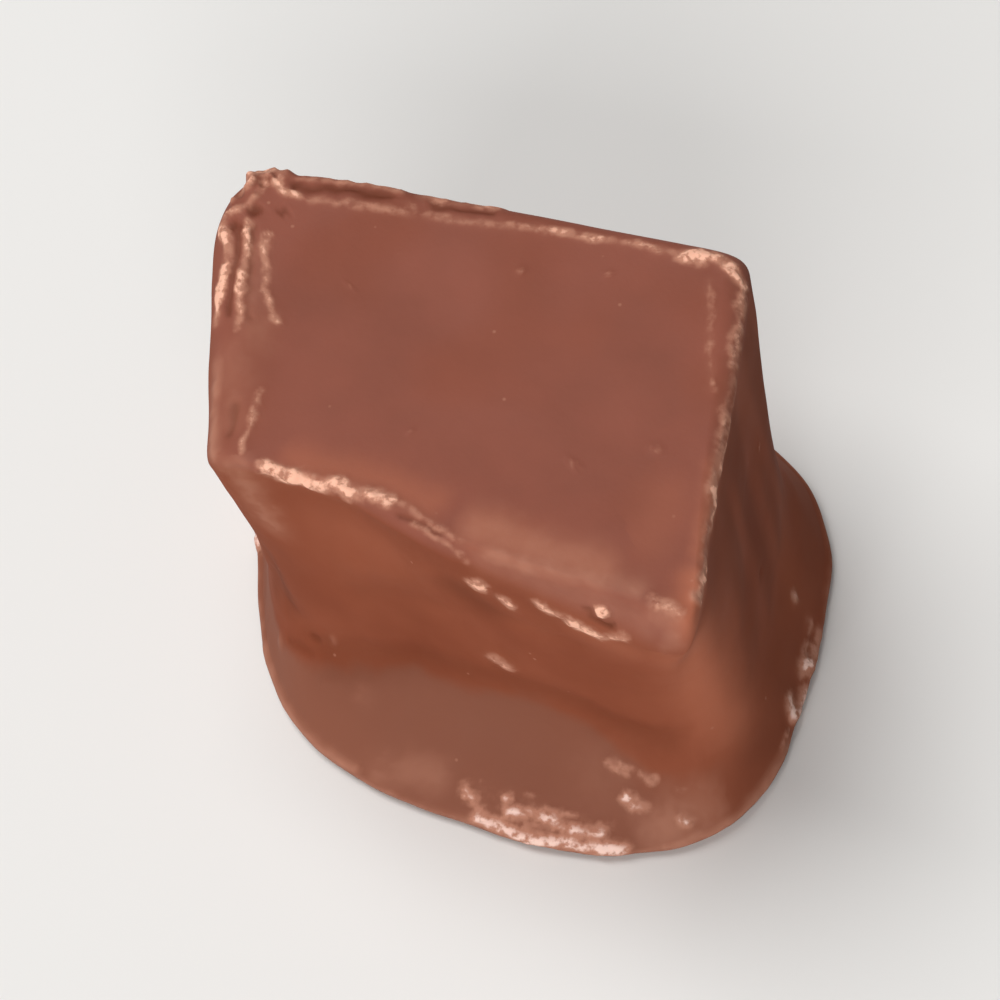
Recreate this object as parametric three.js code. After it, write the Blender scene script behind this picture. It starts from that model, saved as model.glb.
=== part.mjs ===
// Chocolate-covered turkish delight: one hand-cut cube of jelly in a coat of milk chocolate.
// The coat has run down four uneven walls and set round the bottom as a flared, rounded lip,
// so the piece is one closed solid with a flat underside, a hollow waist and a flat, rubbed top.
// Millimetres, +Z up, standing on its underside with the origin under the middle of its extent.

import * as THREE from 'three';

const { degToRad, lerp } = THREE.MathUtils;

// Heights above the table
const HEIGHT = 18.5;
const WAIST_HEIGHT = 6.0;

// Half-round rim of the lip: it starts under the lip, facing the table, and turns upwards
// past its widest point until the slope of the foot takes over
const RIM_RADIUS = 0.5;
const RIM_START = -90;
const RIM_TURN = 60;

// Outlines of the piece from the table up. A heading is the way a side faces in degrees from +X,
// a reach is how far that side lies from the upright axis, and a sharpness rounds a corner:
// about 2.5 is an oval end and 25 a crisp edge.
// Sides run front, right, back, left. Corners run front right, back right, back left, front left.
const LIP = {
  headings: [-100, 2, 89, 187],
  reaches: [12.2, 14.75, 11.6, 11.6],
  sharpness: [2.6, 2.6, 3.2, 3],
};
const WAIST = {
  headings: [-101, 4, 88, 190],
  reaches: [7.9, 12.8, 8.2, 10.5],
  sharpness: [3.6, 5, 5, 6],
};
const SHOULDER = {
  headings: [-103.5, 6, 88, 191],
  reaches: [8.5, 11.8, 9, 11.9],
  sharpness: [14, 22, 5, 28],
};
const FLAT = {
  headings: [-101, 9, 88, 192],
  reaches: [7.8, 10.9, 8.3, 9.8],
  sharpness: [24, 22, 10, 24],
};
const CORNER_BEARINGS = [-42, 38, 143, 221];
const CORNER_FOCUS = 4;

// Fall of the rounded top edge for each millimetre of its width, at the four corners
const EDGE_SLOPES = [1.0, 0.8, 0.6, 0.8];

// The front top edge is rubbed back left of its middle
const RUB_DEPTH = 0.7;
const RUB_ALONG = -3.0;
const RUB_LENGTH = 3.6;
const RUB_FADE = 5.0;

// How quickly the wall hollows below the top and flares above the table, and how the corners of
// the waist round off towards the lip and sharpen towards the shoulder
const WALL_POWER = 1.5;
const FOOT_POWER = 2.0;
const CORNER_SOFTENING = 1.5;
const CORNER_HARDENING = 2.0;

// Slow waves of the coat round the walls, twisting as they climb, and the sag of the top
const WAVES = [
  { depth: 0.1, lobes: 3, twist: 0.35 },
  { depth: 0.06, lobes: 5, twist: -0.7 },
];
const TOP_SAG = 0.15;

// Fineness of the facets
const STEPS_PER_SIDE = 28;
const CORNER_CROWDING = 0.75;
const RIM_RINGS = 4;
const FOOT_RINGS = 8;
const WALL_RINGS = 8;
const EDGE_RINGS = 5;
const TOP_RINGS = 3;

const CHOCOLATE = { color: 0x925844, roughness: 0.45, metalness: 0.0 };

const RIM_TOP = RIM_RADIUS * (1 + Math.sin(degToRad(RIM_TURN)));
const RIM_INSET = RIM_RADIUS * (1 - Math.cos(degToRad(RIM_TURN)));

// Value at a bearing, blended from the values at the four corners.
function cornerValue(bearing, values) {
  let sum = 0;
  let weights = 0;
  CORNER_BEARINGS.forEach((corner, index) => {
    const nearness = Math.max(Math.cos(bearing - degToRad(corner)), 0) ** CORNER_FOCUS;
    sum += nearness * values[index];
    weights += nearness;
  });
  return sum / weights;
}

// Outline part of the way from one outline to another. The sharpness of the corners goes by a
// share of its own, the rounding, in equal factors.
function between(first, second, share, rounding) {
  const mix = (low, high) => low.map((value, index) => lerp(value, high[index], share));
  return {
    headings: mix(first.headings, second.headings),
    reaches: mix(first.reaches, second.reaches),
    sharpness: first.sharpness.map((sharp, corner) => {
      return sharp * (second.sharpness[corner] / sharp) ** rounding;
    }),
  };
}

// Distance from the axis to an outline at a bearing. Each side is a straight line at its reach, and
// a power sum of the sides rounds the corners. The rub, from 0 to 1, sets back the front side.
function outlineRadius(bearing, outline, rub) {
  const sharpness = cornerValue(bearing, outline.sharpness);
  let total = 0;
  outline.headings.forEach((heading, side) => {
    const away = bearing - degToRad(heading);
    const toward = Math.cos(away);
    if (toward <= 0) {
      return;
    }
    let reach = outline.reaches[side];
    if (side === 0) {
      const along = reach * Math.tan(away);
      reach -= rub * RUB_DEPTH * Math.exp(-(((along - RUB_ALONG) / RUB_LENGTH) ** 2));
    }
    total += (toward / reach) ** sharpness;
  });
  return total ** (-1 / sharpness);
}

// Height of the shoulder, where the wall ends and the rounded top edge begins.
function shoulderHeight(bearing) {
  const width = outlineRadius(bearing, SHOULDER, 1) - outlineRadius(bearing, FLAT, 1);
  return HEIGHT - width * cornerValue(bearing, EDGE_SLOPES);
}

// How far the slow waves push the coat out at a bearing and a level.
function waviness(bearing, level) {
  return WAVES.reduce((sum, wave) => {
    return sum + wave.depth * Math.sin(wave.lobes * bearing + wave.twist * level);
  }, 0);
}

// Radius and height on the rim of the lip; share 0 is the edge of the underside, 1 the foot.
function rimPoint(bearing, share) {
  const turn = degToRad(lerp(RIM_START, RIM_TURN, share));
  const radius = outlineRadius(bearing, LIP, 0) - RIM_RADIUS * (1 - Math.cos(turn));
  const height = RIM_RADIUS * (1 + Math.sin(turn));
  return { radius: radius + waviness(bearing, 0), height };
}

// Radius and height on the wall, hollow at the waist; share 0 is the rim and 1 the shoulder.
function wallPoint(bearing, share) {
  const level = lerp(RIM_TOP, HEIGHT, share);
  let outline;
  let flare = 0;
  if (level < WAIST_HEIGHT) {
    const down = (WAIST_HEIGHT - level) / (WAIST_HEIGHT - RIM_TOP);
    flare = down ** FOOT_POWER;
    outline = between(WAIST, LIP, flare, down ** CORNER_SOFTENING);
  } else {
    const lean = ((level - WAIST_HEIGHT) / (HEIGHT - WAIST_HEIGHT)) ** WALL_POWER;
    outline = between(WAIST, SHOULDER, lean, lean ** CORNER_HARDENING);
  }
  const rub = Math.exp(-(((HEIGHT - level) / RUB_FADE) ** 2));
  const radius = outlineRadius(bearing, outline, rub) - RIM_INSET * flare;
  const height = lerp(RIM_TOP, shoulderHeight(bearing), share);
  return { radius: radius + waviness(bearing, level - RIM_TOP), height };
}

// Radius and height on the rounded top edge; share 0 is the shoulder and 1 the flat top.
function edgePoint(bearing, share) {
  const turn = share * Math.PI / 2;
  const inward = 1 - Math.cos(turn);
  const outline = between(SHOULDER, FLAT, inward, inward);
  const radius = outlineRadius(bearing, outline, 1) + waviness(bearing, HEIGHT - RIM_TOP);
  const height = lerp(shoulderHeight(bearing), HEIGHT, Math.sin(turn));
  return { radius, height };
}

// Radius and height on the top, which sags a little; share 0 is its edge and 1 its middle.
function topPoint(bearing, share) {
  const edge = edgePoint(bearing, 1);
  return { radius: edge.radius * (1 - share), height: HEIGHT - TOP_SAG * (1 - (1 - share) ** 2) };
}

// Bearings once round the piece, crowded towards the corners.
function bearingsRound() {
  const bearings = [];
  CORNER_BEARINGS.forEach((corner, index) => {
    const last = index + 1 === CORNER_BEARINGS.length;
    const next = last ? CORNER_BEARINGS[0] + 360 : CORNER_BEARINGS[index + 1];
    for (let step = 0; step < STEPS_PER_SIDE; step += 1) {
      const share = step / STEPS_PER_SIDE;
      const eased = share - CORNER_CROWDING * Math.sin(2 * Math.PI * share) / (2 * Math.PI);
      bearings.push(degToRad(lerp(corner, next, eased)));
    }
  });
  return bearings;
}

// Rings from the edge of the underside up to the top, each a function of the bearing.
function ringsUpward() {
  const rings = [];
  for (let ring = 0; ring < RIM_RINGS; ring += 1) {
    rings.push((bearing) => rimPoint(bearing, ring / RIM_RINGS));
  }
  const waistShare = (WAIST_HEIGHT - RIM_TOP) / (HEIGHT - RIM_TOP);
  for (let ring = 0; ring < FOOT_RINGS; ring += 1) {
    rings.push((bearing) => wallPoint(bearing, waistShare * ring / FOOT_RINGS));
  }
  for (let ring = 0; ring < WALL_RINGS; ring += 1) {
    rings.push((bearing) => wallPoint(bearing, lerp(waistShare, 1, ring / WALL_RINGS)));
  }
  for (let ring = 0; ring < EDGE_RINGS; ring += 1) {
    rings.push((bearing) => edgePoint(bearing, ring / EDGE_RINGS));
  }
  for (let ring = 0; ring < TOP_RINGS; ring += 1) {
    rings.push((bearing) => topPoint(bearing, ring / TOP_RINGS));
  }
  return rings;
}

// Closed skin: a fan under the rings, quads between them and a fan over the last one.
function skin() {
  const bearings = bearingsRound();
  const rings = ringsUpward();
  const around = bearings.length;
  const positions = [];
  rings.forEach((ring) => {
    bearings.forEach((bearing) => {
      const { radius, height } = ring(bearing);
      positions.push(radius * Math.cos(bearing), radius * Math.sin(bearing), height);
    });
  });
  const undersideMiddle = rings.length * around;
  const topMiddle = undersideMiddle + 1;
  positions.push(0, 0, 0);
  positions.push(0, 0, HEIGHT - TOP_SAG);

  const triangles = [];
  for (let step = 0; step < around; step += 1) {
    const next = (step + 1) % around;
    triangles.push(undersideMiddle, next, step);
    for (let ring = 0; ring + 1 < rings.length; ring += 1) {
      const low = ring * around;
      const high = low + around;
      triangles.push(low + step, low + next, high + next);
      triangles.push(low + step, high + next, high + step);
    }
    const last = (rings.length - 1) * around;
    triangles.push(last + step, last + next, topMiddle);
  }

  const geometry = new THREE.BufferGeometry();
  geometry.setAttribute('position', new THREE.Float32BufferAttribute(positions, 3));
  geometry.setIndex(triangles);
  return geometry;
}

// The skin moved so that the middle of its extent is over the origin.
function chocolatePiece() {
  const geometry = skin();
  geometry.computeBoundingBox();
  const middle = geometry.boundingBox.getCenter(new THREE.Vector3());
  geometry.translate(-middle.x, -middle.y, 0);
  geometry.computeVertexNormals();
  const mesh = new THREE.Mesh(geometry, new THREE.MeshStandardMaterial(CHOCOLATE));
  mesh.name = 'chocolate_piece';
  return mesh;
}

const turkishDelight = new THREE.Group();
turkishDelight.name = 'chocolate_covered_turkish_delight';
turkishDelight.add(chocolatePiece());

export default turkishDelight;
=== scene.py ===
"""One piece of chocolate-covered turkish delight on a pale floor, seen from above its front right."""

import bpy
import numpy as np
from mathutils import Matrix, Vector


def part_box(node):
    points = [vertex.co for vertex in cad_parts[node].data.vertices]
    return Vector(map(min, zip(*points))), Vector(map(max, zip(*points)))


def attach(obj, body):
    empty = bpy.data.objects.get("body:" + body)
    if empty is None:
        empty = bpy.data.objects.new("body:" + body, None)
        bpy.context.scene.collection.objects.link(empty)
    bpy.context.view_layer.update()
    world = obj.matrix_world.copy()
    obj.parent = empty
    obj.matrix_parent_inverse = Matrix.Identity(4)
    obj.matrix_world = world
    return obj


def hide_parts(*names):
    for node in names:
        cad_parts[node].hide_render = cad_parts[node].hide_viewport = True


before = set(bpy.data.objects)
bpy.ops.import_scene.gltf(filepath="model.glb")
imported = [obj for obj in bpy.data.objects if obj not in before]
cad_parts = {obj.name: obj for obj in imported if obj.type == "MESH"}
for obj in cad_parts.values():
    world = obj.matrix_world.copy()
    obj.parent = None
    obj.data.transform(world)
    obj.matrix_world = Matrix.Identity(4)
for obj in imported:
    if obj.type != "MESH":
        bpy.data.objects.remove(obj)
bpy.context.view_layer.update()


# Chocolate coat
# A cube of turkish delight, cut by hand and closed in milk chocolate. The soft coat ran down the walls and
# set round the bottom as a flared, rounded lip, and handling has since rubbed its edges pale.
# Its shape is worked out in millimetres about the upright axis and then moved into the frame.
MM = 0.001
coat_low, coat_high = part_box("chocolate_piece")
HEIGHT = (coat_high.z - coat_low.z) / MM
WAIST_HEIGHT = 6.0
RIM_RADIUS = 0.5
RIM_START = -90
RIM_TURN = 60
RIM_TOP = RIM_RADIUS * (1 + np.sin(np.radians(RIM_TURN)))
RIM_INSET = RIM_RADIUS * (1 - np.cos(np.radians(RIM_TURN)))

# Outlines from the table up. A heading is the way a side faces in degrees from +X, a reach is how far the
# side lies from the axis, and a sharpness rounds a corner: about 2.5 is an oval end and 25 a crisp edge.
# Sides run front, right, back, left. Corners run front right, back right, back left, front left.
LIP = {
    "headings": np.array([-100, 2, 89, 187]),
    "reaches": np.array([12.2, 14.75, 11.6, 11.6]),
    "sharpness": np.array([2.6, 2.6, 3.2, 3]),
}
WAIST = {
    "headings": np.array([-101, 4, 88, 190]),
    "reaches": np.array([7.9, 12.8, 8.2, 10.5]),
    "sharpness": np.array([3.6, 5, 5, 6]),
}
SHOULDER = {
    "headings": np.array([-103.5, 6, 88, 191]),
    "reaches": np.array([8.5, 11.8, 9, 11.9]),
    "sharpness": np.array([14, 22, 5, 28]),
}
FLAT = {
    "headings": np.array([-101, 9, 88, 192]),
    "reaches": np.array([7.8, 10.9, 8.3, 9.8]),
    "sharpness": np.array([24, 22, 10, 24]),
}
CORNER_BEARINGS = np.array([-42, 38, 143, 221])
CORNER_FOCUS = 4

# Fall of the rounded top edge for each millimetre of its width, at the four corners.
EDGE_SLOPES = np.array([1.0, 0.8, 0.6, 0.8])

# The front top edge is rubbed back left of its middle. The front is the first of the sides.
FRONT = 0
RUB_DEPTH = 0.7
RUB_ALONG = -3.0
RUB_LENGTH = 3.6
RUB_FADE = 5.0

# How quickly the wall hollows below the top and flares above the table, and how the corners of the waist
# round off towards the lip and sharpen towards the shoulder.
WALL_POWER = 1.5
FOOT_POWER = 2.0
CORNER_SOFTENING = 1.5
CORNER_HARDENING = 2.0

# Slow waves of the coat: the depth, lobes round the axis and twist of each. The top sags a little.
WAVES = ((0.1, 3, 0.35), (0.06, 5, -0.7))
TOP_SAG = 0.15

# Sides that face away from a bearing count for next to nothing there.
GRAZING = 1e-6


def corner_value(bearing, values):
    """Values at the four corners, blended over the bearings by a power of the cosine to each corner."""
    nearness = np.maximum(np.cos(bearing[:, None] - np.radians(CORNER_BEARINGS)), 0) ** CORNER_FOCUS
    return values @ (nearness / nearness.sum(axis=1, keepdims=True)).T


def between(first, second, share, rounding):
    """Rows of outlines, each a share of the way from one outline to another. The sharpness of the corners
    goes by a share of its own, the rounding, in equal factors."""
    outline = {}
    for key in ("headings", "reaches"):
        outline[key] = first[key] + share[:, None] * (second[key] - first[key])
    factor = second["sharpness"] / first["sharpness"]
    outline["sharpness"] = first["sharpness"] * factor ** rounding[:, None]
    return outline


def outline_radius(bearing, outline, rub):
    """Distance from the axis, in rows of outlines and columns of bearings. Each side is a straight line at
    its reach, a power sum of the four sides rounds the corners, and the rub sets back the front side."""
    away = bearing[None, :, None] - np.radians(outline["headings"])[:, None, :]
    toward = np.maximum(np.cos(away), GRAZING)
    reach = np.repeat(outline["reaches"][:, None, :], len(bearing), axis=1)
    along = reach[..., FRONT] * np.tan(away[..., FRONT])
    reach[..., FRONT] -= rub[:, None] * RUB_DEPTH * np.exp(-((along - RUB_ALONG) / RUB_LENGTH) ** 2)
    power = corner_value(bearing, outline["sharpness"])
    return ((toward / reach) ** power[..., None]).sum(axis=-1) ** (-1 / power)


def waviness(bearing, level):
    """Slow waves of the coat: sines round the axis that twist as they climb."""
    return sum(depth * np.sin(lobes * bearing + twist * level[:, None]) for depth, lobes, twist in WAVES)


def shoulder_height(bearing):
    """Height where the wall ends: the width of the rounded edge times its slope below the top."""
    ends = np.array([0.0, 1.0])
    shoulder, flat = outline_radius(bearing, between(SHOULDER, FLAT, ends, ends), np.ones(2))
    return HEIGHT - (shoulder - flat) * corner_value(bearing, EDGE_SLOPES)


def rim_rows(bearing, share):
    """Half-round rim of the lip: an arc from the edge of the underside to the slope of the foot."""
    turn = np.radians(RIM_START + (RIM_TURN - RIM_START) * share)
    still = np.zeros(len(share))
    lip = outline_radius(bearing, between(LIP, LIP, still, still), still) + waviness(bearing, still)
    radius = lip - RIM_RADIUS * (1 - np.cos(turn))[:, None]
    return radius, RIM_RADIUS * (1 + np.sin(turn))[:, None]


def underside_rows(bearing, share):
    """Flat underside: the edge of the rim drawn in to the axis."""
    edge, _ = rim_rows(bearing, np.zeros(1))
    return edge * share[:, None], np.zeros((len(share), 1))


def side_rows(bearing, level):
    """Foot and wall at levels counted up to the full height: the waist flares to the lip below and leans
    out to the shoulder above, and the levels are then pressed down to end at the shoulder."""
    down = np.clip((WAIST_HEIGHT - level) / (WAIST_HEIGHT - RIM_TOP), 0, 1)
    flare = down ** FOOT_POWER
    foot = between(WAIST, LIP, flare, down ** CORNER_SOFTENING)
    lean = np.clip((level - WAIST_HEIGHT) / (HEIGHT - WAIST_HEIGHT), 0, 1) ** WALL_POWER
    wall = between(WAIST, SHOULDER, lean, lean ** CORNER_HARDENING)
    outline = {key: np.where(level[:, None] < WAIST_HEIGHT, foot[key], wall[key]) for key in foot}
    rub = np.exp(-((HEIGHT - level) / RUB_FADE) ** 2)
    radius = outline_radius(bearing, outline, rub) - RIM_INSET * flare[:, None]
    climb = ((level - RIM_TOP) / (HEIGHT - RIM_TOP))[:, None]
    height = RIM_TOP + (shoulder_height(bearing) - RIM_TOP) * climb
    return radius + waviness(bearing, level - RIM_TOP), height


def foot_rows(bearing, share):
    """Foot, from the rim up to the waist."""
    return side_rows(bearing, RIM_TOP + (WAIST_HEIGHT - RIM_TOP) * share)


def wall_rows(bearing, share):
    """Wall, from the waist up to the shoulder."""
    return side_rows(bearing, WAIST_HEIGHT + (HEIGHT - WAIST_HEIGHT) * share)


def edge_rows(bearing, share):
    """Rounded top edge: a quarter turn from the shoulder in to the flat top."""
    turn = share * np.pi / 2
    inward = 1 - np.cos(turn)
    outline = between(SHOULDER, FLAT, inward, inward)
    level = np.full(len(share), HEIGHT - RIM_TOP)
    radius = outline_radius(bearing, outline, np.ones(len(share))) + waviness(bearing, level)
    shoulder = shoulder_height(bearing)
    return radius, shoulder + (HEIGHT - shoulder) * np.sin(turn)[:, None]


def top_rows(bearing, share):
    """Flat top, its edge drawn in to the axis with a slight sag."""
    edge, _ = edge_rows(bearing, np.ones(1))
    return edge * (1 - share)[:, None], (HEIGHT - TOP_SAG * (1 - (1 - share) ** 2))[:, None]


SECTIONS = (underside_rows, rim_rows, foot_rows, wall_rows, edge_rows, top_rows)


def skin(bearing, station):
    """Points of the bare coat, in rows of stations and columns of bearings. Stations 0 to 1 cross the
    underside from its middle, 1 to 2 round the rim, 2 to 3 climb the foot, 3 to 4 the wall, 4 to 5 turn
    over the rounded edge and 5 to 6 cross the top to its middle."""
    radius = np.zeros((len(station), len(bearing)))
    height = np.zeros_like(radius)
    for number, rows in enumerate(SECTIONS):
        here = (station >= number) & (station < number + 1)
        radius[here], height[here] = rows(bearing, station[here] - number)
    return np.stack([radius * np.cos(bearing), radius * np.sin(bearing), height], axis=-1)


# Rows of each section from the underside to the top, crowded towards the edge of the top, and columns
# crowded towards the corners.
ROWS = (18, 10, 36, 46, 34, 44)
COLUMNS_PER_SIDE = 128
CORNER_CROWDING = 0.75
TOP_CROWDING = 1.25
TOP_START = 5

stations = np.concatenate([number + np.arange(count) / count for number, count in enumerate(ROWS)])[1:]
top_shares = np.maximum(stations - TOP_START, 0)
stations = np.where(stations > TOP_START, TOP_START + top_shares ** TOP_CROWDING, stations)
side_shares = np.arange(COLUMNS_PER_SIDE) / COLUMNS_PER_SIDE
crowded = side_shares - CORNER_CROWDING * np.sin(2 * np.pi * side_shares) / (2 * np.pi)
side_spans = np.diff(CORNER_BEARINGS, append=CORNER_BEARINGS[0] + 360)
bearings = np.radians(CORNER_BEARINGS[:, None] + side_spans[:, None] * crowded).ravel()
bare = skin(bearings, stations)

# Outward normals of the bare coat, square to its rows and columns.
around = np.roll(bare, -1, axis=1) - np.roll(bare, 1, axis=1)
outward = np.cross(around, np.gradient(bare, axis=0))
outward /= np.linalg.norm(outward, axis=-1, keepdims=True)


# Relief, wear and painted light are drawn on the bare coat: relief in millimetres along the outward normal,
# and shares from 0 to 1 that the finish reads: one for a thin, light coat, which down the front right corner
# is painted light; one for a soft rub and for the painted highlight along the rim; one for worn edges; one
# for powdery crumbling; and one for darker runs and for painted shade in hollows, pits and on the right
# wall.
# The grain under all of them has a lattice of random slopes, and a gain that brings it to about 1.
LATTICE = 48
GRAIN_GAIN = 1.6


def grain(points, size, seed):
    """Smooth random heights from about -1 to 1. A random slope starts from zero at each corner of a lattice
    with the given spacing, and the slopes of the eight corners round a point are blended with an eased
    weight."""
    slopes = np.random.default_rng(seed).normal(size=(LATTICE, LATTICE, LATTICE, 3))
    slopes /= np.linalg.norm(slopes, axis=-1, keepdims=True)
    cell = np.floor(points / size).astype(int)
    part = points / size - cell
    ease = part ** 3 * (part * (part * 6 - 15) + 10)
    total = np.zeros(points.shape[:-1])
    for corner in np.ndindex(2, 2, 2):
        index = (cell + corner) % LATTICE
        slope = slopes[index[..., 0], index[..., 1], index[..., 2]]
        weight = np.where(corner, ease, 1 - ease).prod(axis=-1)
        total += weight * (slope * (part - corner)).sum(axis=-1)
    return GRAIN_GAIN * total


def rise(value, low, high):
    """Eased step from 0 at the low value to 1 at the high value. It falls where the low one is larger."""
    share = np.clip((value - low) / (high - low), 0, 1)
    return share * share * (3 - 2 * share)


# Fine, middling and broad grain, and the share of a ragged line that stays whole.
FINE_CRUMBLING = 0.7
station = stations[:, None]
fine = grain(bare, size=0.45, seed=11)
middling = grain(bare, size=1.1, seed=12)
broad = grain(bare, size=4.0, seed=13)
whole = rise(middling + FINE_CRUMBLING * fine, low=-0.35, high=0.45)

# The whole coat is a little uneven, with faint runs down the walls and a wandering rim. A run is grain that
# is drawn out downwards.
BROAD_SWELL = 0.05
SKIN_GRAIN = 0.008
WALL_SWELL = 0.09
RUN_HEIGHT = 0.02
RIM_WANDER = 0.12
DOWNWARD_RUNS = np.array([1, 1, 0.18])
wall_part = rise(station, low=2.0, high=2.6) * rise(station, low=4.3, high=3.9)
rim_part = rise(station, low=1.05, high=1.4) * rise(station, low=2.5, high=2.0)
relief = BROAD_SWELL * broad + SKIN_GRAIN * middling
relief += WALL_SWELL * wall_part * grain(bare, size=2.8, seed=16)
relief += RUN_HEIGHT * wall_part * grain(bare * DOWNWARD_RUNS, size=1.3, seed=14)
relief += RIM_WANDER * rim_part * grain(bare, size=2.6, seed=15)
thin_coat_and_painted_light = np.zeros_like(relief)
haze_and_highlight = np.zeros_like(relief)
rubbed = np.zeros_like(relief)
scuffed = np.zeros_like(relief)

# Darker runs of chocolate streak the walls. On the right wall, which faces away from the lights, they are
# much stronger as painted shade. Each darkness has its bearing, and the compass gives the columns' bearings
# from -180 to 180 degrees.
RUN_AND_SHADE_DARKNESS = ((-180, 0.12), (-60, 0.08), (-34, 0.08), (-12, 0.5), (25, 0.45), (50, 0.2), (180, 0.12))
RUN_PATCHINESS = 0.4
compass = np.degrees(np.angle(np.exp(1j * bearings)))
runs = rise(grain(bare * DOWNWARD_RUNS, size=1.8, seed=17) + RUN_PATCHINESS * broad, low=-0.6, high=0.5)
runs *= rise(station, low=2.6, high=3.2) * wall_part
# Painted shade: the runs on the right wall are darkened far more than those on the other walls.
shade_and_dark_runs = np.interp(compass, *np.transpose(RUN_AND_SHADE_DARKNESS)) * runs

# Marks are lines drawn on the coat: the steps along a line, the fade at its ends in widths, the swelling of
# a ragged line, and the slow and the quick wander of every line in millimetres.
LINE_STEPS = 24
FADE_WIDTHS = 1.6
SWELLING = 0.5
WOBBLE = 0.12
JITTER = 0.13
wobble = np.stack([grain(bare, size=2.0, seed=seed) for seed in (51, 52, 53)], axis=-1)
jitter = np.stack([grain(bare, size=0.6, seed=seed) for seed in (54, 55, 56)], axis=-1)
wobbled = bare + WOBBLE * wobble + JITTER * jitter


def stroke(route, width):
    """Distance in millimetres from every point of the coat to a wobbly line drawn on it, and a share that
    fades at the line's ends, over a length that goes with its width. Straight lines join the route's points,
    which are given by bearing and station."""
    corners = np.array(route, float)
    place = np.linspace(0, len(corners) - 1, LINE_STEPS)
    line_bearings = np.interp(place, np.arange(len(corners)), corners[:, 0])
    line_stations = np.interp(place, np.arange(len(corners)), corners[:, 1])
    line = skin(np.radians(line_bearings), line_stations)[np.arange(LINE_STEPS), np.arange(LINE_STEPS)]
    nearest = np.full(relief.shape, np.inf)
    along = np.zeros_like(relief)
    passed = 0.0
    for start, end in zip(line[:-1], line[1:]):
        run = end - start
        length = np.linalg.norm(run)
        part = np.clip((wobbled - start) @ run / length ** 2, 0, 1)
        gap = np.linalg.norm(wobbled - start - part[..., None] * run, axis=-1)
        along = np.where(gap < nearest, passed + part * length, along)
        nearest = np.minimum(nearest, gap)
        passed += length
    fade = min(FADE_WIDTHS * width, passed / 2)
    return nearest, rise(along, low=0, high=fade) * rise(along, low=passed, high=passed - fade)


def bell(line, width, raggedness=0):
    """Share with a bell-shaped section along a drawn line, faded at its ends. A ragged line swells, thins
    and breaks up with the grain."""
    distance, ends = line
    swollen = width * (1 + SWELLING * raggedness * middling)
    return ends * np.exp(-(distance / swollen) ** 2) * (1 - raggedness * (1 - whole))


# Haze round a worn line, as a share of its paleness.
HALO = 0.35


def rub_line(route, width, height, pale, ragged, onto=rubbed):
    """A worn line on the coat: a low ridge, or a scratch where the height is negative, paler along its
    middle and with a soft haze round it."""
    line = stroke(route, width)
    worn = bell(line, width, ragged)
    relief[:] += height * worn * (1 + ragged * fine)
    onto[:] = np.maximum(onto, pale * worn)
    haze_and_highlight[:] = np.maximum(haze_and_highlight, HALO * pale * bell(line, width))


def press_line(route, width, depth, shade=0):
    """A soft hollow along a line, with painted shade where it is deep; a negative depth is a soft fold."""
    hollow = bell(stroke(route, width), width)
    relief[:] -= depth * hollow
    shade_and_dark_runs[:] = np.maximum(shade_and_dark_runs, shade * hollow)


def lighter_band(route, width, share):
    """A soft lighter band along a line, for a thin coat, and as painted light where a rounded corner turns
    to the light.
    """
    thin_coat_and_painted_light[:] = np.maximum(thin_coat_and_painted_light, share * bell(stroke(route, width), width))


CRUMB_UNEVENNESS = 0.35


def crumb(bearing, station, size, height, pale=0, shade=0):
    """A crumb stuck on the coat, or a pit where the height is negative: a round bump with a flat top, worn,
    or darkened with painted shade in a pit."""
    middle = skin(np.radians([bearing]), np.array([station]))[0, 0]
    distance = np.linalg.norm(bare - middle, axis=-1) * (1 + CRUMB_UNEVENNESS * fine)
    bump = np.exp(-(distance / size) ** 4)
    relief[:] += height * bump
    rubbed[:] = np.maximum(rubbed, pale * bump)
    shade_and_dark_runs[:] = np.maximum(shade_and_dark_runs, shade * bump)


# A scuffed patch is made of flecks that are combed along the rim, with dust between them.
COMBED_RADIUS = 2.6
FLECK_GRAIN = 0.35
FLECK_LEVEL = 0.3
DUST_LEVEL = 0.25
PATCH_CORE = 0.4
from_axis = np.hypot(bare[..., 0], bare[..., 1])
combed = np.stack(np.broadcast_arrays(COMBED_RADIUS * bearings, from_axis, bare[..., 2]), axis=-1)
flecks = rise(grain(combed, size=0.45, seed=21) + FLECK_GRAIN * fine, low=0.0, high=0.5)


def scuff_patch(route, width, height, strength):
    """A crumbled patch along a line: raised pale flecks with dust between them."""
    distance, ends = stroke(route, width)
    patch = ends * rise(distance * (1 + SWELLING * middling), low=width, high=PATCH_CORE * width)
    relief[:] += height * patch * (flecks - FLECK_LEVEL)
    scuffed[:] = np.maximum(scuffed, strength * patch * (DUST_LEVEL + (1 - DUST_LEVEL) * flecks))


# Left edge: three fine broken ridges with grooves on its back half, then soft rubs, a groove and a fainter
# line to the front corner. The grooves carry painted shade.
rub_line([(154, 4.2), (158, 4.6), (167, 4.5), (177, 4.35)], width=0.27, height=0.09, pale=1.0, ragged=0.6)
rub_line([(150.5, 4.92), (157, 4.9), (163, 4.88), (178, 4.78)],
         width=0.25, height=0.08, pale=0.9, ragged=0.6)
rub_line([(151, 5.05), (163.5, 5.06), (175, 5.12)], width=0.24, height=0.06, pale=0.75, ragged=0.5)
press_line([(153, 4.76), (163, 4.72), (174, 4.64)], width=0.2, depth=0.14, shade=0.6)
press_line([(151, 5.0), (160, 4.98), (175, 4.97)], width=0.15, depth=0.1, shade=0.5)
rub_line([(194, 5.05), (205, 4.98), (214, 4.8)], width=0.2, height=0.05, pale=0.5, ragged=0.2)
rub_line([(182, 4.4), (196.5, 4.42), (211, 4.37)], width=0.4, height=0.05, pale=0.7, ragged=0.4, onto=haze_and_highlight)
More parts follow.
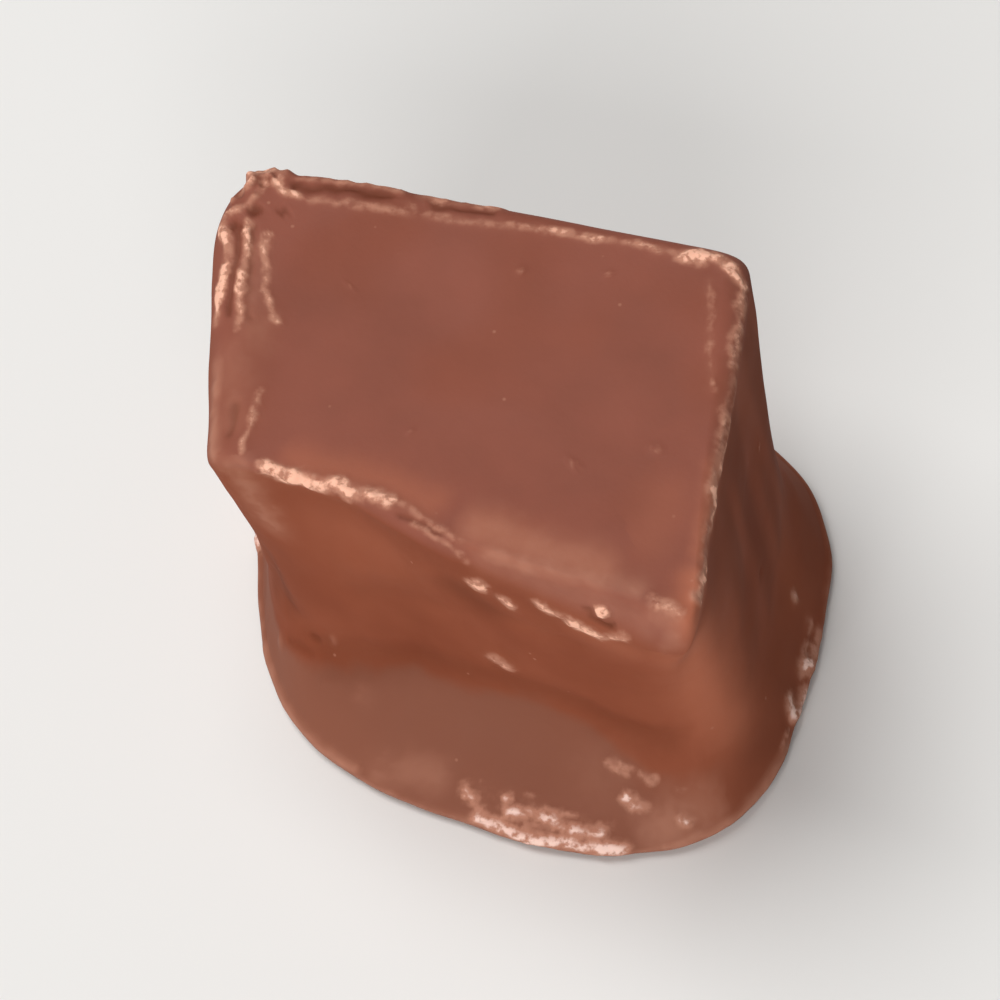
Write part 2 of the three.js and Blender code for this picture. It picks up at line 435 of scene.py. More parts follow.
press_line([(196, 4.8), (208, 4.66)], width=0.22, depth=0.1, shade=0.5)
rub_line([(176, 4.7), (192, 4.75), (209, 4.7)], width=0.9, height=0.0, pale=0.22, ragged=0.3, onto=haze_and_highlight)
rub_line([(152, 4.95), (165, 5.0), (188, 5.04)], width=0.8, height=0.0, pale=0.24, ragged=0.3, onto=haze_and_highlight)
rub_line([(209, 4.7), (214, 4.1), (217, 3.8), (218, 3.5)],
         width=0.85, height=0.02, pale=0.5, ragged=0.4, onto=haze_and_highlight)

# Back left corner: broken fins with pits between them, darkened with painted shade.
rub_line([(155, 4.3), (150, 4.83), (147, 4.91), (143, 4.95)],
         width=0.24, height=0.14, pale=0.75, ragged=0.5)
rub_line([(140, 4.6), (143, 5.03), (141, 5.1)], width=0.24, height=0.1, pale=0.8, ragged=0.5)
rub_line([(147, 4.3), (143, 4.45), (138, 4.4)], width=0.36, height=0.5, pale=0.75, ragged=0.4)
rub_line([(151, 4.35), (147, 4.6), (144, 4.75)], width=0.22, height=0.14, pale=0.7, ragged=0.6)
crumb(149.5, 4.99, size=0.3, height=-0.2, shade=0.7)
crumb(154.5, 4.64, size=0.26, height=-0.16, shade=0.7)
crumb(144, 4.87, size=0.26, height=-0.18, shade=0.7)
crumb(146, 5.1, size=0.24, height=-0.1, shade=0.5)
crumb(148.5, 4.5, size=0.26, height=-0.16, shade=0.6)

# Back edge: two lines with a groove between them that run together and on to a worn corner. The grooves
# carry painted shade.
rub_line([(140, 4.84), (132, 4.66), (124, 4.45), (119, 4.6)],
         width=0.25, height=0.08, pale=0.45, ragged=0.3)
rub_line([(119, 4.6), (112, 4.6), (104, 4.4), (92, 4.3)], width=0.25, height=0.06, pale=0.6, ragged=0.6)
press_line([(142, 5.03), (136, 5.02), (128, 4.97), (122, 4.9)], width=0.22, depth=0.16, shade=0.7)
rub_line([(142, 5.1), (130, 5.08), (120, 5.07), (118, 4.85)],
         width=0.25, height=0.06, pale=0.44, ragged=0.3)
press_line([(115, 4.9), (104, 4.8), (94, 4.75)], width=0.22, depth=0.12, shade=0.6)
rub_line([(118, 5.05), (104, 5.05), (98, 5.05), (82, 5.03)], width=0.25, height=0.05, pale=0.44, ragged=0.3)
rub_line([(86, 5.03), (70, 5.02), (54, 5.0), (38, 5.04)], width=0.25, height=0.05, pale=0.6, ragged=0.5)
rub_line([(45, 5.05), (37, 4.8), (30, 4.3)], width=0.36, height=0.06, pale=1.0, ragged=0.6)

# Right edge: a faint inner line, and a lumpy pale outer one that runs down to the front corner, with a thin
# coat beside it.
rub_line([(37, 5.05), (24, 5.04), (4, 5.0)], width=0.2, height=0.02, pale=0.35, ragged=0.6)
rub_line([(33, 4.45), (12, 4.4), (-8, 4.35), (-24, 4.3), (-38, 4.45)],
         width=0.42, height=0.03, pale=0.5, ragged=0.5)
rub_line([(8, 4.2), (-6, 4.1), (-15, 4.12)], width=0.26, height=0.05, pale=0.6, ragged=0.6)
rub_line([(-15, 4.25), (-20, 4.15), (-25, 4.1)], width=0.32, height=0.07, pale=0.9, ragged=0.4)
rub_line([(-29, 4.1), (-34, 4.4), (-38, 4.5)], width=0.32, height=0.07, pale=0.85, ragged=0.4)
lighter_band([(-33, 4.55), (-20, 4.3), (-8, 4.2)], width=0.6, share=0.65)
lighter_band([(-42, 5.25), (-28, 5.15), (-14, 5.08)], width=1.3, share=0.25)

# Front edge: a bright crumbled line on the left that goes up and down and thins out into two, then a ragged
# step down the wall on the right with a round bead over it, with painted shade in the hollow under the step,
# in a ring round the bead and in the grooves along the edge. Above the step the edge is a soft bevel that
# ends in a pale corner. The coat is thin and lighter along the edge and on the wall under it; the broad
# lighter band down the front right corner is painted light on the rounded corner that turns towards the
# light.
rub_line([(-144.5, 4.86), (-142, 4.86), (-139.5, 4.58), (-137, 4.32), (-134.5, 4.58), (-131, 4.42),
          (-128, 4.36), (-125.5, 4.78), (-122, 4.74), (-119, 4.58), (-115, 4.8), (-110, 4.95)],
         width=0.38, height=0.09, pale=1.0, ragged=0.28)
rub_line([(-143.5, 4.6), (-138, 4.3), (-130, 4.3), (-122, 4.5)],
         width=0.4, height=0.03, pale=0.62, ragged=0.5)
press_line([(-142, 4.3), (-139, 4.02), (-136, 3.98)], width=0.2, depth=0.08, shade=0.4)
rub_line([(-117, 4.8), (-110, 4.98), (-101, 5.04)], width=0.36, height=0.08, pale=0.75, ragged=0.35)
rub_line([(-106, 5.04), (-94.5, 5.03), (-83.5, 5.0), (-76, 4.85)],
         width=0.26, height=0.04, pale=0.34, ragged=0.4)
rub_line([(-98, 4.75), (-90.5, 4.68), (-84.5, 4.6), (-79, 4.4), (-76, 4.05)],
         width=0.22, height=0.05, pale=0.34, ragged=0.4)
lighter_band([(-146, 5.08), (-130, 5.08), (-108, 5.13), (-80, 5.15)], width=0.9, share=0.5)
lighter_band([(-84, 5.1), (-70, 5.1), (-57, 5.08), (-50, 5.1), (-44, 5.08)], width=1.0, share=0.45)
rub_line([(-84, 5.08), (-70, 5.1), (-57, 5.08), (-50, 5.1), (-44, 5.08)],
         width=1.0, height=0.0, pale=0.4, ragged=0.2, onto=haze_and_highlight)
press_line([(-102, 4.8), (-92, 4.86), (-83, 4.86)], width=0.22, depth=0.1, shade=0.5)
rub_line([(-78.5, 3.94), (-75, 3.9), (-71.5, 3.88)], width=0.6, height=0.14, pale=1.0, ragged=0.25)
rub_line([(-72.5, 3.88), (-69.5, 3.86), (-65, 3.82)], width=0.46, height=0.1, pale=0.78, ragged=0.4)
rub_line([(-63.5, 4.0), (-60, 3.95), (-56.5, 3.94)], width=0.48, height=0.14, pale=0.8, ragged=0.35)
rub_line([(-58.5, 3.95), (-54, 3.92), (-50, 3.9)], width=0.62, height=0.18, pale=1.0, ragged=0.25)
rub_line([(-51, 3.92), (-49, 4.08), (-48.8, 4.3)], width=0.36, height=0.08, pale=0.6, ragged=0.4)
press_line([(-92, 3.86), (-82, 3.76), (-74, 3.68), (-66, 3.64)], width=1.3, depth=0.14, shade=0.5)
press_line([(-72, 3.68), (-62, 3.68), (-52, 3.72)], width=0.7, depth=0.12)
press_line([(-84, 4.45), (-68, 4.4), (-55, 4.45), (-45, 4.5)], width=0.7, depth=0.2)
rub_line([(-80, 4.6), (-62, 4.6), (-42, 4.5)], width=0.9, height=0.0, pale=0.24, ragged=0.2, onto=haze_and_highlight)
rub_line([(-76, 4.82), (-64, 4.85), (-57, 4.97), (-51, 5.02), (-41.5, 5.05)],
         width=0.62, height=0.03, pale=0.55, ragged=0.3, onto=haze_and_highlight)
rub_line([(-43.4, 5.03), (-41.2, 4.97), (-39.4, 4.65)], width=0.4, height=0.05, pale=0.5, ragged=0.25)
rub_line([(-45, 4.85), (-42, 4.6), (-40, 4.4)], width=0.7, height=0.0, pale=0.55, ragged=0.3, onto=haze_and_highlight)
rub_line([(-45, 4.5), (-42.5, 4.3), (-40.6, 4.1)], width=0.8, height=0.0, pale=0.6, ragged=0.4, onto=haze_and_highlight)
lighter_band([(-44, 4.5), (-40.5, 4.45), (-37, 4.7), (-30, 4.6)], width=0.9, share=0.85)
lighter_band([(-60, 3.85), (-51, 3.88), (-44, 3.85)], width=1.3, share=0.4)
lighter_band([(-140, 3.8), (-126, 3.75), (-110, 3.75), (-92, 3.82)], width=1.4, share=0.2)
# Painted light: a broad lighter band down the front right corner, where the rounded corner turns towards the
# light.
lighter_band([(-42, 4.3), (-40, 3.95), (-37.5, 3.6), (-34, 3.2), (-30, 2.6), (-31, 2.2)],
          width=1.7, share=0.75)
press_line([(-53.6, 4.36), (-52.6, 4.16), (-50.5, 4.14), (-49.7, 4.3)], width=0.18, depth=0.16, shade=0.7)
crumb(-51.2, 4.4, size=0.36, height=0.22, pale=0.9)

# Front wall: soft folds, the hollow above the foot with painted shade in it and at its crinkled left end,
# and a nick with painted shade under it.
press_line([(-128, 3.54), (-112.5, 3.58), (-100, 3.66), (-86, 3.86)], width=0.9, depth=-0.12)
press_line([(-128, 3.32), (-113.5, 3.42), (-98.5, 3.5), (-84, 3.54)], width=0.9, depth=0.14, shade=0.12)
press_line([(-141, 2.5), (-132, 2.62), (-121, 2.76), (-104, 3.02), (-87, 3.04), (-68, 3.1), (-54, 3.08),
            (-44, 2.92), (-36, 2.85)],
           width=1.2, depth=0.2, shade=0.34)
press_line([(-133, 2.36), (-120, 2.58), (-105, 2.74), (-88, 2.72), (-65, 2.86), (-52, 2.72)],
           width=0.5, depth=-0.06)
press_line([(-150, 3.4), (-150, 3.0), (-143, 2.65)], width=0.8, depth=0.16, shade=0.25)
press_line([(-149, 3.3), (-146.5, 3.09), (-145, 2.93), (-142, 2.76)], width=0.75, depth=0.1, shade=0.45)
press_line([(-150, 3.2), (-152, 3.0), (-156, 2.6)], width=0.6, depth=0.08, shade=0.3)
press_line([(-146, 2.42), (-140, 2.5), (-134, 2.52)], width=0.3, depth=0.08, shade=0.3)
crumb(-136.3, 2.7, size=0.32, height=-0.12, shade=0.45)
rub_line([(-132.5, 2.82), (-129, 2.8)], width=0.36, height=0.1, pale=0.35, ragged=0.3, onto=haze_and_highlight)
rub_line([(-149, 2.24), (-145, 2.32)], width=0.4, height=0.1, pale=0.3, ragged=0.4, onto=haze_and_highlight)
rub_line([(-79, 3.27), (-73.5, 3.23), (-68.5, 3.19)], width=0.46, height=0.12, pale=0.56, ragged=0.25)
press_line([(-78, 3.16), (-69, 3.09)], width=0.25, depth=0.08, shade=0.3)

# Lip: a thin pale line all round, partly rubbed and partly a painted highlight on the rounded rim, crinkled
# patches with a groove of painted shade under the front one, and small scuffs on the foot.
RIM_LINES = 6
RIM_SPAN = 360 / RIM_LINES
RIM_OVERLAP = 8
RIM_CREST = 1.62
# Partly a painted highlight: the rounded rim is drawn pale all round.
for start in np.arange(RIM_LINES) * RIM_SPAN:
    rim_route = [(start - RIM_OVERLAP, RIM_CREST), (start + RIM_SPAN + RIM_OVERLAP, RIM_CREST)]
    rub_line(rim_route, width=0.24, height=0.0, pale=0.6, ragged=0.3, onto=haze_and_highlight)
rub_line([(-154, 1.64), (-142, 1.62), (-135, 1.62), (-128, 1.66), (-119, 1.75), (-110, 1.9)],
         width=0.34, height=0.04, pale=0.75, ragged=0.15, onto=haze_and_highlight)
rub_line([(-52, 1.68), (-38, 1.66), (-20, 1.64)],
         width=0.34, height=0.04, pale=0.85, ragged=0.15, onto=haze_and_highlight)
scuff_patch([(-89, 2.12), (-74, 2.1), (-55, 2.06)], width=0.9, height=0.06, strength=0.45)
rub_line([(-84, 2.04), (-80, 1.9), (-74, 1.8), (-65, 1.82), (-54, 1.88)],
         width=0.4, height=0.14, pale=1.0, ragged=0.2, onto=scuffed)
rub_line([(-78, 2.05), (-69, 2.11), (-65, 2.05), (-57, 2.08)],
         width=0.34, height=0.14, pale=0.85, ragged=0.3, onto=scuffed)
rub_line([(-87, 2.15), (-84.5, 2.08), (-81, 2.03)],
         width=0.24, height=0.08, pale=0.85, ragged=0.3, onto=scuffed)
rub_line([(-78, 2.12), (-73, 2.17)], width=0.24, height=0.08, pale=0.8, ragged=0.3, onto=scuffed)
press_line([(-80, 2.0), (-70, 1.99), (-58, 2.0)], width=0.18, depth=0.1, shade=0.5)
rub_line([(-6.5, 2.14), (-9, 1.9), (-10, 1.6)], width=0.6, height=0.16, pale=1.0, ragged=0.05, onto=scuffed)
rub_line([(-9.5, 1.62), (-14, 1.6), (-18.5, 1.6)],
         width=0.46, height=0.1, pale=1.0, ragged=0.2, onto=scuffed)
rub_line([(-15, 2.18), (-17, 2.05), (-19.5, 1.75)],
         width=0.44, height=0.14, pale=1.0, ragged=0.2, onto=scuffed)
rub_line([(4, 2.37), (0, 2.3)], width=0.28, height=0.08, pale=0.7, ragged=0.4, onto=scuffed)
rub_line([(2, 2.12), (-3, 2.05)], width=0.28, height=0.08, pale=0.65, ragged=0.5, onto=scuffed)
scuff_patch([(-26, 1.7), (-14, 1.85), (3, 2.0)], width=0.8, height=0.1, strength=0.5)
scuff_patch([(55, 1.9), (92, 2.0)], width=0.9, height=0.14, strength=0.8)
rub_line([(60, 1.65), (72, 1.7), (86, 1.85)], width=0.34, height=0.1, pale=0.9, ragged=0.5, onto=scuffed)
scuff_patch([(165, 1.9), (186, 2.0)], width=0.8, height=0.14, strength=0.8)
rub_line([(166, 1.6), (176, 1.7), (184, 1.9)], width=0.32, height=0.1, pale=0.9, ragged=0.5, onto=scuffed)
rub_line([(-54, 2.58), (-51, 2.5), (-49, 2.47)],
         width=0.34, height=0.06, pale=0.75, ragged=0.7, onto=scuffed)
rub_line([(-49.5, 2.5), (-47.5, 2.44), (-45.5, 2.42)],
         width=0.3, height=0.06, pale=0.7, ragged=0.6, onto=scuffed)
rub_line([(-54, 2.33), (-51.5, 2.26), (-48.5, 2.2)],
         width=0.36, height=0.07, pale=1.0, ragged=0.5, onto=scuffed)
rub_line([(-47, 2.14), (-44.8, 2.08), (-43, 2.04)],
         width=0.3, height=0.06, pale=0.9, ragged=0.5, onto=scuffed)
rub_line([(-45, 2.36), (-42, 2.28)], width=0.26, height=0.04, pale=0.55, ragged=0.6, onto=scuffed)
rub_line([(-56, 1.98), (-49, 2.08), (-42, 2.12), (-36, 1.92)],
         width=1.3, height=0.0, pale=0.62, ragged=0.3, onto=haze_and_highlight)
rub_line([(-112, 2.0), (-101.5, 2.1), (-95, 2.14), (-87, 2.12)],
         width=0.75, height=0.02, pale=0.34, ragged=0.6, onto=haze_and_highlight)
rub_line([(-122, 2.42), (-112, 2.5)], width=0.6, height=0.02, pale=0.2, ragged=0.6, onto=haze_and_highlight)
rub_line([(-66, 2.42), (-56, 2.42), (-46, 2.35)], width=1.5, height=0.0, pale=0.14, ragged=0.3, onto=haze_and_highlight)

# Top: a few stuck crumbs.
crumb(80, 5.3, size=0.24, height=0.06, pale=0.25)
crumb(52, 5.22, size=0.22, height=0.06, pale=0.25)
crumb(-33, 5.54, size=0.26, height=0.06, pale=0.22)
crumb(-14, 5.2, size=0.3, height=0.06, pale=0.25)
crumb(150, 5.45, size=0.16, height=0.05, pale=0.2)
crumb(-120, 5.5, size=0.14, height=0.05, pale=0.2)

# Left, back and right walls: scratches, specks and pits like those on the front, the pits darkened with
# painted shade.
rub_line([(178, 3.75), (186, 3.35)], width=0.14, height=-0.03, pale=0.5, ragged=0.6)
rub_line([(200, 3.3), (192, 3.15)], width=0.16, height=-0.03, pale=0.45, ragged=0.6)
rub_line([(112, 3.7), (98, 3.45)], width=0.14, height=-0.03, pale=0.5, ragged=0.6)
rub_line([(70, 3.25), (62, 3.5)], width=0.14, height=-0.03, pale=0.45, ragged=0.6)
crumb(170, 3.5, size=0.22, height=0.07, pale=0.4)
crumb(84, 3.6, size=0.2, height=0.07, pale=0.4)
crumb(105, 3.2, size=0.24, height=-0.1, shade=0.5)
crumb(12, 3.5, size=0.2, height=0.06, pale=0.35)
crumb(-8, 3.2, size=0.24, height=-0.1, shade=0.5)
press_line([(128, 3.02), (88, 3.05), (52, 3.02)], width=0.8, depth=0.1)
press_line([(160, 3.03), (190, 3.0), (208, 3.04)], width=0.8, depth=0.1)

# Underside: creases left in the coat where it set, pressed in above the table.
CREASE_SHARPNESS = 5
CREASE_DEPTH = 0.12
creases = 1 - np.minimum(np.abs(grain(bare, size=6.0, seed=31)) * CREASE_SHARPNESS, 1)
underside = rise(station, low=0.98, high=0.8)
pressed = -CREASE_DEPTH * underside * rise(creases, low=0.2, high=1.0)
relief = np.where(station < 1, pressed, relief)

# Worn places are crumbly. The top has a dull bloom with a painted sheen on it, and so has most of the foot
# up to the hollow over it, where the painted sheen is strong on the lit front and faint on the shaded right.
# The station where the foot's bloom and sheen end and their strength go by bearing.
WORN_GRAIN = 0.05
WORN_CRUMBS = 0.06
FOOT_TOP = ((-180, 2.6), (-145, 2.35), (-133, 2.48), (-120, 2.71), (-105, 2.9), (-88, 2.87), (-65, 3.02),
            (-55, 2.9), (-46, 2.5), (0, 2.3), (40, 2.5), (140, 2.7), (180, 2.6))
FOOT_DUST_AND_SHEEN = ((-180, 0.6), (-140, 1.0), (-76, 1.0), (-52, 0.85), (-42, 0.3), (-34, 0.15), (10, 0.15),
              (90, 0.5), (180, 0.6))
FOOT_WANDER = 0.05
FADE_ABOVE = 0.06
FADE_BELOW = 0.12
BLOOM_AND_SHEEN_THINNING = 0.25
relief += np.maximum(rubbed, scuffed) * (WORN_GRAIN * grain(bare, size=0.3, seed=41) + WORN_CRUMBS * fine)
foot_top = np.interp(compass, *np.transpose(FOOT_TOP)) + FOOT_WANDER * middling
# Painted sheen on the foot, over its dust, strongest where the foot faces the front light.
foot_dust_and_sheen = np.interp(compass, *np.transpose(FOOT_DUST_AND_SHEEN))
foot_dust_and_sheen = foot_dust_and_sheen * rise(station, low=foot_top + FADE_ABOVE, high=foot_top - FADE_BELOW)
# Painted sheen: the top and its edges, where the bloom lies, also carry a greyer veil for the light they
# reflect.
bloom_and_sheen = rise(station, low=3.9, high=4.5) * (1 - BLOOM_AND_SHEEN_THINNING * rise(broad, low=0.0, high=0.8))

# Mesh: quads between the rows, closed by a fan at the middle of the underside and of the top.
skin_middle = (bare.reshape(-1, 3).max(axis=0) + bare.reshape(-1, 3).min(axis=0)) / 2
frame_middle = np.array((coat_low + coat_high) / 2) / MM
to_frame = np.array([frame_middle[0] - skin_middle[0], frame_middle[1] - skin_middle[1], coat_low.z / MM])
dressed = bare + relief[..., None] * outward
dressed[..., 2] = np.maximum(dressed[..., 2], 0)
rows, columns = relief.shape
grid = np.arange(rows * columns).reshape(rows, columns)
beside = np.roll(grid, -1, axis=1)
quads = np.stack([grid[:-1], beside[:-1], beside[1:], grid[1:]], axis=-1).reshape(-1, 4)
underside_middle = np.full(columns, rows * columns)
top_middle = underside_middle + 1
underside_fan = np.stack([underside_middle, beside[0], grid[0]], axis=-1)
top_fan = np.stack([grid[-1], beside[-1], top_middle], axis=-1)
poles = np.stack([dressed[0].mean(axis=0), dressed[-1].mean(axis=0)])
points = (np.concatenate([dressed.reshape(-1, 3), poles]) + to_frame) * MM

coat_mesh = bpy.data.meshes.new("chocolate_coat")
coat_mesh.from_pydata(points.tolist(), [], quads.tolist() + underside_fan.tolist() + top_fan.tolist())
coat_mesh.polygons.foreach_set("use_smooth", np.ones(len(coat_mesh.polygons), dtype=bool))
wear_and_painted_light = {"thin_coat_and_painted_light": thin_coat_and_painted_light, "haze_and_highlight": haze_and_highlight, "rubbed": rubbed, "scuffed": scuffed, "shade_and_dark_runs": shade_and_dark_runs,
        "bloom_and_sheen": bloom_and_sheen, "foot_dust_and_sheen": foot_dust_and_sheen}
for name, share in wear_and_painted_light.items():
    ends = np.array([share[0].mean(), share[-1].mean()])
    attribute = coat_mesh.attributes.new(name, "FLOAT", "POINT")
    attribute.data.foreach_set("value", np.concatenate([share.ravel(), ends]).astype(np.float32))
coat_mesh.update()
coat = bpy.data.objects.new("chocolate_coat", coat_mesh)
bpy.context.scene.collection.objects.link(coat)


# Finish of the coat: satin milk chocolate, reddish where it is fresh on the walls and duller and greyer on
# what faces up, where a bloom or dust lies and a painted sheen stands for the soft light it reflects. It is
# lighter where the coat is thin and as painted light down the front right corner, dark in runs and with
# painted shade in grooves, pits, hollows and on the right wall, pale where it is hazed or rubbed and along
# the painted highlight of the rim, and powdery where it has crumbled.
FRESH_DARK = (0.225, 0.057, 0.027, 1)
FRESH_LIGHT = (0.280, 0.079, 0.040, 1)
SHADE_AND_RUN_BROWN = (0.125, 0.030, 0.012, 1)
BLOOM_AND_SHEEN_BROWN = (0.233, 0.073, 0.047, 1)
BLOOM_AND_SHEEN_PINK = (0.279, 0.088, 0.058, 1)
FOOT_DUST_AND_SHEEN_BROWN = (0.240, 0.086, 0.052, 1)
THIN_AND_LIT_CHOCOLATE = (0.42, 0.135, 0.075, 1)
RUBBED_CHOCOLATE = (0.46, 0.205, 0.135, 1)
BARED_CHOCOLATE = (0.89, 0.485, 0.345, 1)
POWDERED_CHOCOLATE = (0.90, 0.62, 0.53, 1)

milk_chocolate = bpy.data.materials.new("milk_chocolate")
milk_chocolate.use_nodes = True
tree = milk_chocolate.node_tree
tree.nodes.clear()


def fill(socket, value):
    """A link from another node's output, or a constant, put into a socket."""
    if isinstance(value, bpy.types.NodeSocket):
        tree.links.new(value, socket)
    else:
        socket.default_value = value


def add_node(kind, settings=None, **sockets):
    """A shader node with its settings made and its sockets filled. A socket is named with underscores for
    its spaces."""
    node = tree.nodes.new("ShaderNode" + kind)
    for name, value in (settings or {}).items():
        setattr(node, name, value)
    for name, value in sockets.items():
        fill(node.inputs[name.replace("_", " ")], value)
    return node


def mottle(size, detail, low, high):
    """Cloudy share from 0 to 1 with patches of a size in millimetres."""
    clouds = add_node("TexNoise", Vector=place, Scale=1 / (size * MM), Detail=detail)
    share = add_node("MapRange", Value=clouds.outputs["Fac"], From_Min=low, From_Max=high)
    return share.outputs["Result"]


# Places of the sockets that a mix of colours uses.
MIX_SHARE, MIX_FIRST, MIX_SECOND, MIX_RESULT = 0, 6, 7, 2


def blend_colours(share, first, second):
    """Colour a share of the way from the first colour to the second."""
    mix = add_node("Mix", {"data_type": "RGBA"})
    fill(mix.inputs[MIX_SHARE], share)
    fill(mix.inputs[MIX_FIRST], first)
    fill(mix.inputs[MIX_SECOND], second)
    return mix.outputs[MIX_RESULT]


def calculate(operation, first, second):
    """Two shares or numbers joined by one operation of arithmetic."""
    node = add_node("Math", {"operation": operation})
    for socket, value in zip(node.inputs, (first, second)):
        fill(socket, value)
    return node.outputs["Value"]


def eased(value, low, high, top=1.0):
    """Eased share of a value between a low and a high limit, up to a top share."""
    node = add_node("MapRange", {"interpolation_type": "SMOOTHSTEP"}, Value=value, From_Min=low,
                    From_Max=high, To_Max=top)
    return node.outputs["Result"]


# Places on the coat, and the shares drawn on its mesh, as the finish reads them.
place = add_node("TexCoord").outputs["Object"]
drawn = {name: add_node("Attribute", {"attribute_name": name}).outputs["Fac"] for name in wear_and_painted_light}

# Colour, from the plain coat to its bloom and painted sheen, thin places and painted light, runs and painted
# shade, specks, haze and painted highlight, worn edges and powdery flecks.
SPECK_SPACING = 1.3
fresh = blend_colours(mottle(size=7.0, detail=4, low=0.3, high=0.7), FRESH_DARK, FRESH_LIGHT)
bloom_and_sheen_colour = blend_colours(mottle(size=5.0, detail=4, low=0.3, high=0.7), BLOOM_AND_SHEEN_BROWN, BLOOM_AND_SHEEN_PINK)
# Painted sheen: the bloom colour on the top and edges also stands for the soft light they reflect.
colour = blend_colours(drawn["bloom_and_sheen"], fresh, bloom_and_sheen_colour)
# Painted sheen: the foot's dusty colour also stands for the soft light it reflects.
colour = blend_colours(drawn["foot_dust_and_sheen"], colour, FOOT_DUST_AND_SHEEN_BROWN)
# Lighter for a thin coat, and as painted light down the front right corner.
colour = blend_colours(drawn["thin_coat_and_painted_light"], colour, THIN_AND_LIT_CHOCOLATE)
# Painted shade: grooves, pits, the hollow over the foot and the right wall are darkened here, along with the
# darker runs.
colour = blend_colours(drawn["shade_and_dark_runs"], colour, SHADE_AND_RUN_BROWN)
specks = add_node("TexVoronoi", Vector=place, Scale=1 / (SPECK_SPACING * MM))
speck_chance = add_node("SeparateColor", Color=specks.outputs["Color"]).outputs["Red"]
speck_spot = eased(specks.outputs["Distance"], low=0.09, high=0.03, top=0.5)
speck_share = calculate("MULTIPLY", speck_spot, eased(speck_chance, low=0.6, high=0.7))
colour = blend_colours(speck_share, colour, RUBBED_CHOCOLATE)
# Haze round rubs, and the painted highlight along the rim.
colour = blend_colours(drawn["haze_and_highlight"], colour, RUBBED_CHOCOLATE)
softly_worn = calculate("MULTIPLY", drawn["rubbed"], mottle(size=0.4, detail=5, low=0.16, high=0.56))
colour = blend_colours(eased(softly_worn, low=0.06, high=0.45), colour, RUBBED_CHOCOLATE)
bared = calculate("MULTIPLY", drawn["rubbed"], mottle(size=0.35, detail=5, low=0.18, high=0.58))
colour = blend_colours(eased(bared, low=0.32, high=0.7), colour, BARED_CHOCOLATE)
powder = calculate("MULTIPLY", drawn["scuffed"], mottle(size=0.35, detail=5, low=0.1, high=0.56))
colour = blend_colours(eased(powder, low=0.05, high=0.45), colour, RUBBED_CHOCOLATE)
colour = blend_colours(eased(powder, low=0.42, high=0.85), colour, POWDERED_CHOCOLATE)

# Gloss and grain: a little patchy, smoother under the bloom and rougher where it is rubbed.
WALL_ROUGHNESS = 0.8
ROUGH_PATCHES = 0.1
BLOOM_SMOOTHING = 0.3
RUBBED_ROUGHENING = 0.2
PORE_SIZE = 0.25
PORE_DEPTH = 0.03
patches = calculate("MULTIPLY", mottle(size=2.5, detail=4, low=0.3, high=0.7), ROUGH_PATCHES)
roughness = calculate("ADD", patches, WALL_ROUGHNESS)
smoothed = calculate("MAXIMUM", drawn["bloom_and_sheen"], drawn["foot_dust_and_sheen"])
roughness = calculate("SUBTRACT", roughness, calculate("MULTIPLY", smoothed, BLOOM_SMOOTHING))
roughness = calculate("ADD", roughness, calculate("MULTIPLY", drawn["rubbed"], RUBBED_ROUGHENING))
pores = add_node("TexNoise", Vector=place, Scale=1 / (PORE_SIZE * MM), Detail=4)
pore_bump = add_node("Bump", Height=pores.outputs["Fac"], Strength=0.25, Distance=PORE_DEPTH * MM)

chocolate = add_node(
    "BsdfPrincipled",
    Base_Color=colour,
    Roughness=roughness,
    IOR=1.46,
    Specular_IOR_Level=0.09,
    Normal=pore_bump.outputs["Normal"],
    Subsurface_Weight=0.08,
    Subsurface_Radius=(1.0, 0.45, 0.3),
    Subsurface_Scale=0.6 * MM,
)
add_node("OutputMaterial", Surface=chocolate.outputs["BSDF"])
coat_mesh.materials.append(milk_chocolate)
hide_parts("chocolate_piece")
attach(coat, "root")


# Floor
# A plain pale table top, wide enough to run out of every view.
FLOOR_HALF = 3.0
FLOOR_ROUGHNESS = 0.8
PALE = (0.80, 0.79, 0.77, 1)
floor_mesh = bpy.data.meshes.new("floor")
floor_corners = [(-FLOOR_HALF, -FLOOR_HALF, 0), (FLOOR_HALF, -FLOOR_HALF, 0),
                 (FLOOR_HALF, FLOOR_HALF, 0), (-FLOOR_HALF, FLOOR_HALF, 0)]
floor_mesh.from_pydata(floor_corners, [], [(0, 1, 2, 3)])
floor = bpy.data.objects.new("floor", floor_mesh)
bpy.context.scene.collection.objects.link(floor)
floor_finish = bpy.data.materials.new("pale_floor")
floor_finish.use_nodes = True
floor_shader = floor_finish.node_tree.nodes["Principled BSDF"]
floor_shader.inputs["Base Color"].default_value = PALE
floor_shader.inputs["Roughness"].default_value = FLOOR_ROUGHNESS
floor_mesh.materials.append(floor_finish)


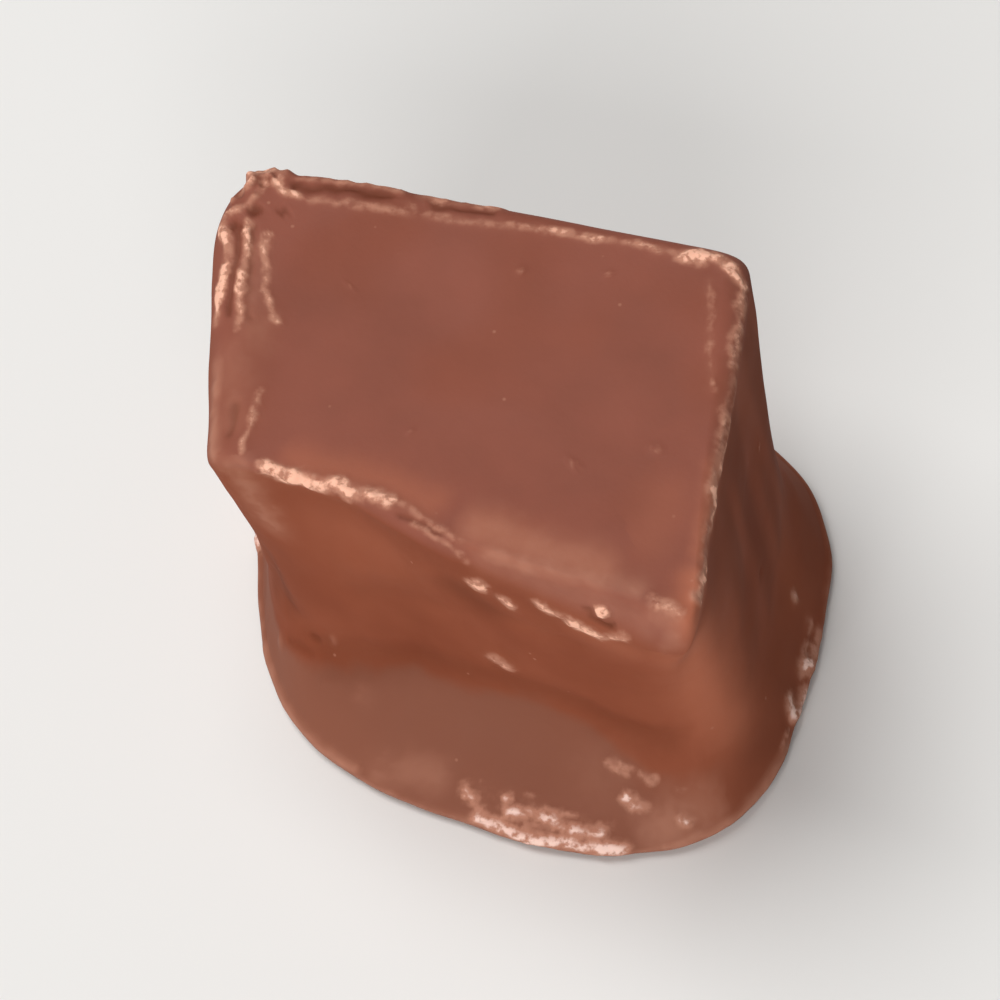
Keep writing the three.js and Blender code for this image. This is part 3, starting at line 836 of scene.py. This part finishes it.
# Light
# A broad soft light overhead, another low in front, and a weak pale surround.
SURROUND_COLOUR = (1.0, 0.98, 0.96, 1)
SURROUND_STRENGTH = 0.09


def soft_light(name, toward, distance, width, power):
    """A square light that stands in a direction from the piece and faces it."""
    light = bpy.data.lights.new(name, "AREA")
    light.shape = "SQUARE"
    light.size = width
    light.energy = power
    lamp = bpy.data.objects.new(name, light)
    direction = Vector(toward).normalized()
    lamp.location = direction * distance
    lamp.rotation_euler = direction.to_track_quat("Z", "Y").to_euler()
    bpy.context.scene.collection.objects.link(lamp)


soft_light("overhead_light", toward=(-0.38, 0.18, 0.88), distance=0.8, width=0.6, power=5.5)
soft_light("front_light", toward=(0.05, -0.88, 0.47), distance=0.8, width=0.6, power=4.5)
surround = bpy.data.worlds.new("surround")
surround.use_nodes = True
surround.node_tree.nodes["Background"].inputs["Color"].default_value = SURROUND_COLOUR
surround.node_tree.nodes["Background"].inputs["Strength"].default_value = SURROUND_STRENGTH
bpy.context.scene.world = surround
bpy.context.scene.view_settings.view_transform = "Standard"


# Camera
# Above the front right corner, leaning as the photograph does, with the piece filling most of the frame.
AZIMUTH = 22
ELEVATION = 58
LEAN = -10
DISTANCE = 0.7
FRAME_WIDTH = 0.045
SENSOR = 36
turn, tilt, lean = np.radians([AZIMUTH, ELEVATION, LEAN])
backward = Vector((np.sin(turn) * np.cos(tilt), -np.cos(turn) * np.cos(tilt), np.sin(tilt)))
level_right = Vector((np.cos(turn), np.sin(turn), 0))
level_up = backward.cross(level_right)
right = np.cos(lean) * level_right + np.sin(lean) * level_up
up = -np.sin(lean) * level_right + np.cos(lean) * level_up
aim = (coat_low + coat_high) / 2
camera_data = bpy.data.cameras.new("camera")
camera_data.sensor_width = SENSOR
camera_data.lens = SENSOR * DISTANCE / FRAME_WIDTH
camera = bpy.data.objects.new("camera", camera_data)
facing = Matrix((right, up, backward)).transposed().to_4x4()
camera.matrix_world = Matrix.Translation(aim + backward * DISTANCE) @ facing
bpy.context.scene.collection.objects.link(camera)
bpy.context.scene.camera = camera
